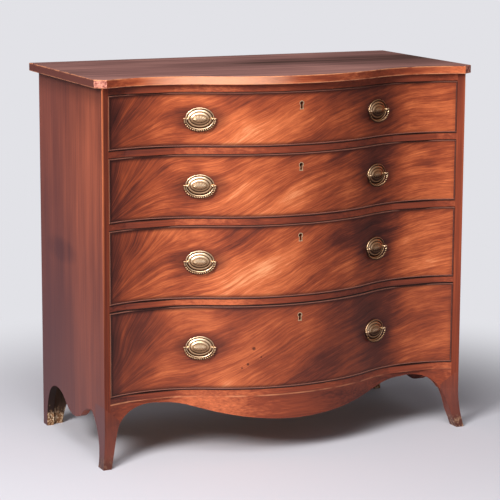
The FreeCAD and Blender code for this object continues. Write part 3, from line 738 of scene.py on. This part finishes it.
def bare_wood(name, axis, colours):
    """Unpolished boards inside the chest, all with the same run of the grain."""
    wood = bare_finish(name)
    colour, fibre = bare_grain(wood, axis, colours)
    return wood.finish(colour, fibre, BARE_BUMP)


def lining_oak():
    """Drawer linings: the grain runs along the side boards, and across the back board."""
    wood = bare_finish("oak_lining")
    side, fibre = bare_grain(wood, "y", OAK_COLOURS)
    back = bare_grain(wood, "x", OAK_COLOURS)[0]
    colour = wood.blend(wood.rise(wood.size(wood.normal_y), none=0.6, full=0.8), side, back)
    return wood.finish(colour, fibre, BARE_BUMP)


def worn_pine():
    """Rear foot brackets: nearly black above, broken at the floor."""
    wood = bare_finish("worn_pine")
    colour = bare_grain(wood, "z", BRACKET_COLOURS)[0]
    colour, chips = broken_foot(wood, colour)
    return wood.finish(colour, chips, bump_strength=0.5)


# Metals

BRASS_STOPS = ((0.0, srgb(236, 206, 170)), (0.35, srgb(176, 136, 100)), (0.85, srgb(64, 43, 32)))
LOCK_BRASS_COLOURS = (srgb(96, 72, 40), srgb(168, 132, 80))
LOCK_STEEL_COLOURS = (srgb(78, 74, 70), srgb(140, 134, 126))
METAL_BUMP = 0.05

# Positions of the dark and the light colour of stained metal
STAIN_RAMP = (0.3, 0.7)

# How brown the brass is in a hollow, from patina and painted shade, where it faces down, as painted shade,
# and where it is stained
HOLLOW_PATINA_AND_SHADE = 0.9
UNDERSIDE_SHADE = 0.5
STAIN_BROWN = 0.2

# How much rougher brown brass and stained metal are
BROWN_ROUGHNESS = 0.25
STAIN_ROUGHNESS = 0.15


def gilt_brass(name, roughness, shade=0.0):
    """Old gilt brass: pale on the crests, dark with patina and painted shade in the hollows, and with
    painted shade where it faces down and, as much as the shade given, on its lower half.
    """
    metal = Finish(name, metallic=1.0)
    tarnish = metal.noise(grain_place(metal, along=160.0, across=160.0, axis="x"), detail=4.0, roughness=0.6)
    # Patina and painted shade in the hollows, painted shade where it faces down and on the lower half, and
    # stains
    tarnish_and_shade = metal.add(
        metal.times(metal.attribute("recess"), HOLLOW_PATINA_AND_SHADE),
        metal.times(metal.rise(metal.normal_z, none=0.2, full=-0.6), UNDERSIDE_SHADE),
        metal.times(metal.rise(metal.normal_z, none=0.05, full=-0.15), shade),
        metal.times(metal.rise(tarnish, none=0.5, full=0.8), STAIN_BROWN),
    )
    rougher = metal.add(roughness, metal.times(tarnish_and_shade, BROWN_ROUGHNESS))
    return metal.finish(metal.ramp(tarnish_and_shade, BRASS_STOPS), tarnish, METAL_BUMP, rougher)


def dull_metal(name, colours, roughness):
    """Stained metal of the locks."""
    metal = Finish(name, metallic=1.0)
    stain = metal.noise(grain_place(metal, along=120.0, across=120.0, axis="x"), detail=4.0, roughness=0.6)
    colour = metal.ramp(stain, tuple(zip(STAIN_RAMP, colours)))
    rougher = metal.add(roughness, metal.times(stain, STAIN_ROUGHNESS))
    return metal.finish(colour, stain, METAL_BUMP, rougher)


# Meshes

def mesh_piece(name, points, faces, place, recess):
    """Object from local points, shaded smooth, with a place and a recess value on each point."""
    mesh = bpy.data.meshes.new(name)
    mesh.from_pydata(points, [], faces)
    mesh.validate()
    for face in mesh.polygons:
        face.use_smooth = True
    layer = mesh.attributes.new("recess", "FLOAT", "POINT")
    layer.data.foreach_set("value", recess)
    mesh.update()
    piece = bpy.data.objects.new(name, mesh)
    scene.collection.objects.link(piece)
    piece.matrix_world = place
    return piece


def tube_faces(rings, count, first=0):
    """Quads between neighbouring closed rings of points, and a cap on the first ring and the last."""
    faces = []
    for ring in range(rings - 1):
        near = first + ring * count
        far = near + count
        for step in range(count):
            after = (step + 1) % count
            faces.append((near + step, near + after, far + after, far + step))
    faces.append(tuple(reversed(range(first, first + count))))
    faces.append(tuple(range(first + (rings - 1) * count, first + rings * count)))
    return faces


def handle_place(drawer, side_name):
    """Frame of a handle: X along the front, Y outward and Z up, with its origin on the drawer face."""
    name = drawer + "_" + side_name + "_bail_swing"
    joint = next(joint for joint in frame["joints"] if joint["name"] == name)
    along = -Vector(joint["axis"])
    up = Vector((0, 0, 1))
    outward = along.cross(up)
    origin = Vector(joint["pos_m"]) - outward * PIVOT_HEIGHT
    turn = Matrix((along, outward, up)).transposed().to_4x4()
    return Matrix.Translation(origin) @ turn


# Oval plate, from the edge to the centre: offset inward and stand from the chord in mm, and recess
PLATE_PROFILE = (
    (0.0, 0.5, 0.6), (0.2, 1.5, 0.3), (0.9, 2.3, 0.0), (2.0, 2.6, 0.0), (3.0, 2.2, 0.1), (3.7, 1.3, 0.9),
    (4.4, 1.0, 1.0), (5.2, 1.2, 0.8), (5.9, 1.8, 0.2), (7.2, 2.6, 0.0), (8.8, 3.2, 0.0), (10.0, 3.3, 0.2),
    (10.8, 2.9, 0.6), (11.6, 2.9, 0.8), (12.4, 3.5, 0.4), (13.4, 4.2, 0.1), (15.0, 4.9, 0.1),
    (16.6, 5.4, 0.2), (17.4, 5.3, 0.5), (18.2, 5.4, 0.5), (20.0, 6.0, 0.3), (23.0, 6.6, 0.1),
    (26.6, 6.9, 0.0),
)
PLATE_SIDES = 120

# Back of the plate: how far its top and bottom sink behind the chord, how far it stands off, and recess
PLATE_HOLLOW = 1.7 * MM
PLATE_STANDOFF = 0.2 * MM
PLATE_BACK_RECESS = 0.8

# Flutes of the boss: number, depth in mm, and where they start and end, as an offset inward in mm
PLATE_FLUTES = 12
FLUTE_DEPTH = 0.5
FLUTE_START = 18.2
FLUTE_END = 26.6


def plate_ring(inward):
    """Turn and place in x and z of each point on one ring of a plate."""
    ring = []
    for step in range(PLATE_SIDES):
        turn = 2 * math.pi * step / PLATE_SIDES
        x = (PLATE_HALF_WIDTH - inward * MM) * math.cos(turn)
        z = (PLATE_HALF_HEIGHT - inward * MM) * math.sin(turn)
        ring.append((turn, x, z))
    return ring


def make_plate(drawer, side_name, place):
    """Oval plate with a raised rim, a dome, an inner ring and a fluted boss, its back bent to the front."""
    points = []
    for turn, x, z in plate_ring(0.0):
        points.append((x, PLATE_STANDOFF - PLATE_HOLLOW * (1 - math.cos(turn) ** 2), z))
    recess = [PLATE_BACK_RECESS] * PLATE_SIDES
    for inward, stand, hollow in PLATE_PROFILE:
        span = (inward - FLUTE_START) / (FLUTE_END - FLUTE_START)
        depth = FLUTE_DEPTH * max(0.0, math.sin(math.pi * min(1.0, max(0.0, span))))
        for turn, x, z in plate_ring(inward):
            flute = depth * (0.5 + 0.5 * math.cos(PLATE_FLUTES * turn))
            points.append((x, (stand - flute) * MM, z))
            recess.append(hollow)
    faces = tube_faces(len(PLATE_PROFILE) + 1, PLATE_SIDES)
    return mesh_piece(drawer + "_" + side_name + "_plate", points, faces, place, recess)


# Bail: centre line of its bow, with two rounded shoulders, and how far its middle hangs forward
BAIL_HALF_WIDTH = 37.4 * MM
BAIL_DROP = 28.3 * MM
BAIL_SIDE_RADIUS = 26.0 * MM
BAIL_FALL = 0.4 * MM
BAIL_MIDDLE_RADIUS = 3.1 * MM
BAIL_END_RADIUS = 2.1 * MM
BAIL_STEPS = 300
BAIL_SIDES = 14

# Part of the bow to each side that gives its direction
BAIL_PROBE = 0.001

# Rope of the bow: turns, depth as a share of the radius, where it ends, and over how much it fades
ROPE_TURNS = 20
ROPE_DEPTH = 0.2
ROPE_REACH = 0.85
ROPE_FADE = 0.06

# Recess of the rope's crests, how much more its grooves have, and recess of the turned ends
CREST_RECESS = 0.15
GROOVE_RECESS = 0.8
BAIL_END_RECESS = 0.2

# Turned end of a bail, from the pin in the post to the button: distance from the middle and radius in mm
BAIL_END_PROFILE = (
    (28.8, 1.15), (33.5, 1.15), (33.6, 2.0), (34.2, 2.3), (34.8, 1.9), (35.4, 2.6), (36.4, 3.0), (37.4, 3.1),
    (38.4, 2.9), (39.2, 2.2), (39.6, 1.5), (40.0, 1.5), (40.4, 1.2), (40.7, 0.5),
)


def bail_line(share):
    """Point of the bail's centre line in its own plane, from the left end at 0 to the right end at 1."""
    shoulder = BAIL_HALF_WIDTH - BAIL_SIDE_RADIUS
    spread = shoulder ** 2 + BAIL_DROP ** 2 - BAIL_SIDE_RADIUS ** 2
    low_radius = spread / (2 * (BAIL_DROP - BAIL_SIDE_RADIUS))
    low_centre = low_radius - BAIL_DROP
    turn = math.atan2(shoulder, low_centre)
    side_length = BAIL_SIDE_RADIUS * (math.pi / 2 - turn)
    half_length = side_length + low_radius * turn
    distance = half_length * abs(2 * share - 1)
    side = 1 if share >= 0.5 else -1
    if distance <= low_radius * turn:
        angle = distance / low_radius
        return side * low_radius * math.sin(angle), low_centre - low_radius * math.cos(angle)
    angle = math.pi / 2 - (half_length - distance) / BAIL_SIDE_RADIUS
    return side * (shoulder + BAIL_SIDE_RADIUS * math.sin(angle)), -BAIL_SIDE_RADIUS * math.cos(angle)


def roped_bow():
    """Points and recess values of the bow, ring by ring from its left end."""
    points = []
    recess = []
    for step in range(BAIL_STEPS + 1):
        share = step / BAIL_STEPS
        x, z = bail_line(share)
        before = bail_line(max(0.0, share - BAIL_PROBE))
        after = bail_line(min(1.0, share + BAIL_PROBE))
        run = Vector((after[0] - before[0], 0, after[1] - before[1])).normalized()
        outer = Vector((run.z, 0, -run.x))
        from_middle = abs(2 * share - 1)
        radius = BAIL_MIDDLE_RADIUS + (BAIL_END_RADIUS - BAIL_MIDDLE_RADIUS) * from_middle ** 2
        roped = min(1.0, max(0.0, (ROPE_REACH - from_middle) / ROPE_FADE))
        for corner in range(BAIL_SIDES):
            turn = 2 * math.pi * corner / BAIL_SIDES
            wave = math.cos(2 * math.pi * ROPE_TURNS * share + turn)
            reach = radius * (1 - ROPE_DEPTH * roped * (1 - wave))
            offset = outer * (reach * math.cos(turn)) + Vector((0, reach * math.sin(turn), 0))
            points.append((x + offset.x, offset.y, z + offset.z))
            recess.append(CREST_RECESS + GROOVE_RECESS * (0.5 - 0.5 * wave) * roped)
    return points, recess


def turned_end(side):
    """Points of one turned end, ring by ring from its pin."""
    points = []
    for distance, radius in BAIL_END_PROFILE:
        for corner in range(BAIL_SIDES):
            turn = side * 2 * math.pi * corner / BAIL_SIDES
            points.append((side * distance * MM, radius * MM * math.cos(turn), radius * MM * math.sin(turn)))
    return points


def make_bail(drawer, side_name, place):
    """Bail with a roped lower bow and two turned ends."""
    points, recess = roped_bow()
    faces = tube_faces(BAIL_STEPS + 1, BAIL_SIDES)
    for side in (-1, 1):
        faces += tube_faces(len(BAIL_END_PROFILE), BAIL_SIDES, first=len(points))
        end = turned_end(side)
        points += end
        recess += [BAIL_END_RECESS] * len(end)
    hang = Matrix.Rotation(math.asin(BAIL_FALL / BAIL_DROP), 4, "X")
    pivot = place @ Matrix.Translation((0, PIVOT_HEIGHT, 0)) @ hang
    return mesh_piece(drawer + "_" + side_name + "_bail_roped", points, faces, pivot, recess)


# Dressing the solids

def dress(material, *names):
    for name in names:
        for slot in nodes[name].material_slots:
            slot.material = material


def dress_carcass():
    dress(top_mahogany(), "top_board")
    dress(side_mahogany(), "left_side", "right_side")
    dress(rail_mahogany("rail_mahogany", shift=0.0), "top_rails", "drawer_dividers", "bottom_rail")
    dress(rail_mahogany("apron_mahogany", shift=7.0, slope=APRON_SLOPE), "apron")
    dress(foot_mahogany(), "left_front_foot", "right_front_foot")
    dress(bare_wood("pine_upright", "z", PINE_COLOURS), "back_boards")
    dress(bare_wood("pine_across", "x", PINE_COLOURS), "dust_boards", "foot_blocks")
    dress(worn_pine(), "rear_foot_brackets")
    dress(bare_wood("oak_runner", "y", OAK_COLOURS), "drawer_runners", "drawer_kickers", "drawer_stops")


def dress_fronts():
    """Each drawer front has its own run of the veneer, and the lowest is duller, with knots."""
    for index, drawer in enumerate(DRAWERS):
        seed = FRONT_SEED * index
        if drawer == LOWEST_DRAWER:
            figure_and_light = FLAME_FIGURE_AND_LIGHT + LOWEST_FIGURE_AND_LIGHT
            veneer = flame_mahogany(drawer, seed, LOWEST_TONE, LOWEST_DULLNESS, figure_and_light, KNOTS)
        else:
            veneer = flame_mahogany(drawer, seed, FRONT_TONE, FRONT_DULLNESS, FLAME_FIGURE_AND_LIGHT, ())
        dress(veneer, drawer + "_front")


def fit_handle(drawer, side_name, brass):
    """Finer plate and bail in the place of the solid ones."""
    place = handle_place(drawer, side_name)
    plate = make_plate(drawer, side_name, place)
    plate.data.materials.append(brass)
    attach(plate, drawer)
    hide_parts(drawer + "_handle_plates")
    bail = make_bail(drawer, side_name, place)
    bail.data.materials.append(brass)
    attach(bail, drawer + "_" + side_name + "_bail")
    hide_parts(drawer + "_" + side_name + "_bail")


def dress_drawers():
    """Drawers, whose right handles are smoother and more shaded than the left ones."""
    left_brass = gilt_brass("gilt_brass", roughness=0.28, shade=0.1)
    right_brass = gilt_brass("shaded_brass", roughness=0.22, shade=0.45)
    worn_brass = gilt_brass("worn_brass", roughness=0.55)
    bead = bead_mahogany()
    lining = lining_oak()
    bottom = bare_wood("oak_bottom", "x", OAK_COLOURS)
    lock_brass = dull_metal("lock_brass", LOCK_BRASS_COLOURS, roughness=0.4)
    lock_steel = dull_metal("lock_steel", LOCK_STEEL_COLOURS, roughness=0.35)
    dress_fronts()
    for drawer in DRAWERS:
        dress(bead, drawer + "_cock_beads")
        dress(lining, drawer + "_linings")
        dress(bottom, drawer + "_bottom")
        dress(lock_brass, drawer + "_lock")
        dress(lock_steel, drawer + "_lock_bolt")
        dress(worn_brass, drawer + "_escutcheon")
        dress(left_brass, drawer + "_handle_posts")
        for side_name, brass in zip(SIDES, (left_brass, right_brass)):
            fit_handle(drawer, side_name, brass)


# Stage, light and camera

FLOOR_HALF = 40.0
FLOOR_COLOUR = srgb(218, 217, 225)
BACKDROP_COLOUR = srgb(226, 226, 231)
BACKDROP_STRENGTH = 1.0
SHADOW_REACH = (0.6, 1.5)
SURROUND_COLOUR = srgb(235, 236, 242)
SURROUND_STRENGTH = 0.17

# What polish and metal mirror: pale toward the lit side, from none to full along it, and dim elsewhere
LIT_DIRECTION = (-0.85, -0.53, 0.0)
LIT_RANGE = (-0.5, 0.5)
DIM_COLOUR = srgb(236, 196, 170)
DIM_STRENGTH = 0.3


def make_floor():
    """Pale floor that keeps the shadow near the chest and fades into the backdrop away from it."""
    corners = [(x * FLOOR_HALF, y * FLOOR_HALF, 0) for x, y in ((-1, -1), (1, -1), (1, 1), (-1, 1))]
    mesh = bpy.data.meshes.new("floor")
    mesh.from_pydata(corners, [], [(0, 1, 2, 3)])
    floor = bpy.data.objects.new("floor", mesh)
    scene.collection.objects.link(floor)
    paint = Finish("floor_paint", roughness=0.7)
    paint.shader.inputs["Base Color"].default_value = FLOOR_COLOUR
    away = paint.math("SQRT", paint.add(paint.times(paint.x, paint.x), paint.times(paint.y, paint.y)))
    far = paint.rise(away, *SHADOW_REACH)
    camera_ray = paint.tree.nodes.new("ShaderNodeLightPath").outputs["Is Camera Ray"]
    glow = paint.node("ShaderNodeEmission", BACKDROP_COLOUR, BACKDROP_STRENGTH)
    seen_far = paint.times(far, camera_ray)
    mix = paint.node("ShaderNodeMixShader", seen_far, paint.shader.outputs[0], glow.outputs[0])
    paint.feed(paint.tree.nodes["Material Output"].inputs["Surface"], mix.outputs[0])
    mesh.materials.append(paint.material)


def make_world():
    """Soft surround light; the camera sees the pale backdrop, and polish mirrors it dimmer to the right."""
    world = bpy.data.worlds.new("studio")
    world.use_nodes = True
    scene.world = world
    tree = world.node_tree

    def blend(share, first, second):
        made = tree.nodes.new("ShaderNodeMixShader")
        for socket, source in zip(made.inputs, (share, first, second)):
            tree.links.new(source, socket)
        return made.outputs[0]

    def light(colour, strength):
        made = tree.nodes.new("ShaderNodeBackground")
        made.inputs["Color"].default_value = colour
        made.inputs["Strength"].default_value = strength
        return made.outputs[0]

    def greater(first, second):
        made = tree.nodes.new("ShaderNodeMath")
        made.operation = "MAXIMUM"
        tree.links.new(first, made.inputs[0])
        tree.links.new(second, made.inputs[1])
        return made.outputs[0]

    toward = tree.nodes.new("ShaderNodeVectorMath")
    toward.operation = "DOT_PRODUCT"
    tree.links.new(tree.nodes.new("ShaderNodeTexCoord").outputs["Generated"], toward.inputs[0])
    toward.inputs[1].default_value = LIT_DIRECTION
    lit = tree.nodes.new("ShaderNodeMapRange")
    lit.inputs["From Min"].default_value = LIT_RANGE[0]
    lit.inputs["From Max"].default_value = LIT_RANGE[1]
    tree.links.new(toward.outputs["Value"], lit.inputs["Value"])
    pale = light(BACKDROP_COLOUR, BACKDROP_STRENGTH)
    reflected = blend(lit.outputs[0], light(DIM_COLOUR, DIM_STRENGTH), pale)
    path = tree.nodes.new("ShaderNodeLightPath").outputs
    mirrored = greater(path["Is Glossy Ray"], path["Is Transmission Ray"])
    unseen = blend(mirrored, light(SURROUND_COLOUR, SURROUND_STRENGTH), reflected)
    surface = blend(path["Is Camera Ray"], unseen, pale)
    tree.links.new(surface, tree.nodes["World Output"].inputs["Surface"])


def make_lamp(name, place, target, size, power, colour):
    data = bpy.data.lights.new(name, "AREA")
    data.size = size
    data.energy = power
    data.color = colour
    lamp = bpy.data.objects.new(name, data)
    scene.collection.objects.link(lamp)
    lamp.location = place
    lamp.rotation_euler = (Vector(target) - Vector(place)).to_track_quat("-Z", "Y").to_euler()


def make_camera():
    data = bpy.data.cameras.new("camera")
    data.lens = CAMERA_LENS
    data.sensor_width = CAMERA_SENSOR
    camera = bpy.data.objects.new("camera", data)
    scene.collection.objects.link(camera)
    tilt = Matrix.Rotation(math.pi / 2 - CAMERA_PITCH, 4, "X") @ Matrix.Rotation(CAMERA_ROLL, 4, "Z")
    camera.matrix_world = Matrix.Translation(CAMERA_PLACE) @ Matrix.Rotation(-CAMERA_YAW, 4, "Z") @ tilt
    scene.camera = camera


dress_carcass()
dress_drawers()
make_floor()
make_world()
for lamp in LAMPS:
    make_lamp(*lamp)
make_camera()
